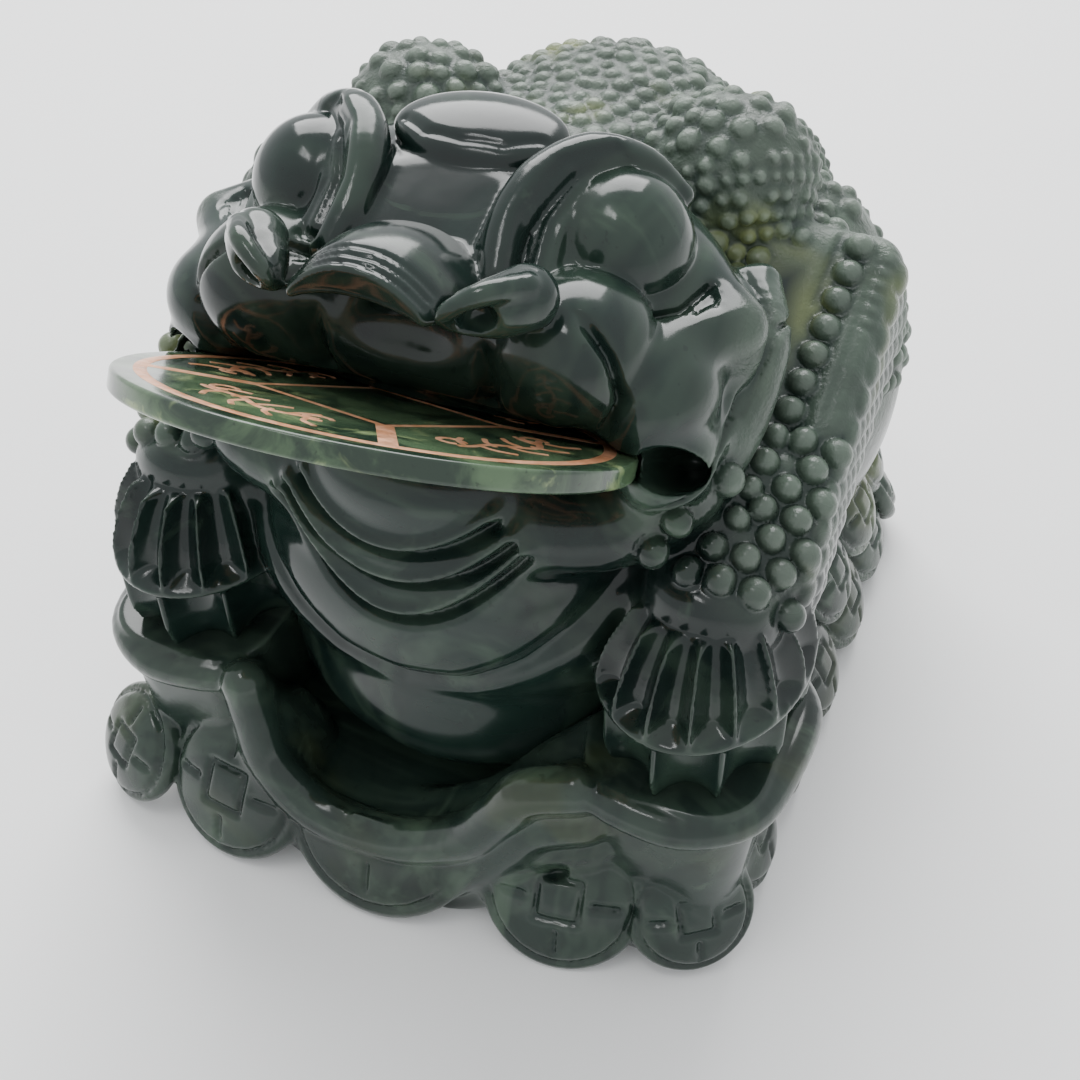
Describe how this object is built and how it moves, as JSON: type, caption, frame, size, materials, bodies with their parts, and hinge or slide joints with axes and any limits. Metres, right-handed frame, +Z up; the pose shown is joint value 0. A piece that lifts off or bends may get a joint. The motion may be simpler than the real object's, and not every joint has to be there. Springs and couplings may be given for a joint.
{
  "type": "jade money toad figurine",
  "caption": "Carved green jade toad on a plinth of cash coins, with a loose jade coin that slides out of its mouth; a desk ornament.",
  "frame": {"origin": "on the surface that the plinth stands on, on the mirror plane, under the middle of the figure", "axes": "+Z up; the toad looks along -Y; +X is the toad's left side"},
  "size_m": [0.1864, 0.2469, 0.1958],
  "materials": {
    "toad_jade": "polished",
    "plinth_jade": "polished",
    "coin_jade": "polished",
    "gilding": "satin"
  },
  "bodies": {
    "figure": {"toad_figure": "toad_jade", "coin_plinth": "plinth_jade"},
    "coin": {"mouth_coin": "coin_jade", "coin_gilding_top": "gilding", "coin_gilding_bottom": "gilding"}
  },
  "joints": [
    {"name": "coin_slide", "type": "slide", "parent": "figure", "child": "coin", "axis": [0, -0.8517, 0.524], "range_m": [0, 0.075]}
  ]
}
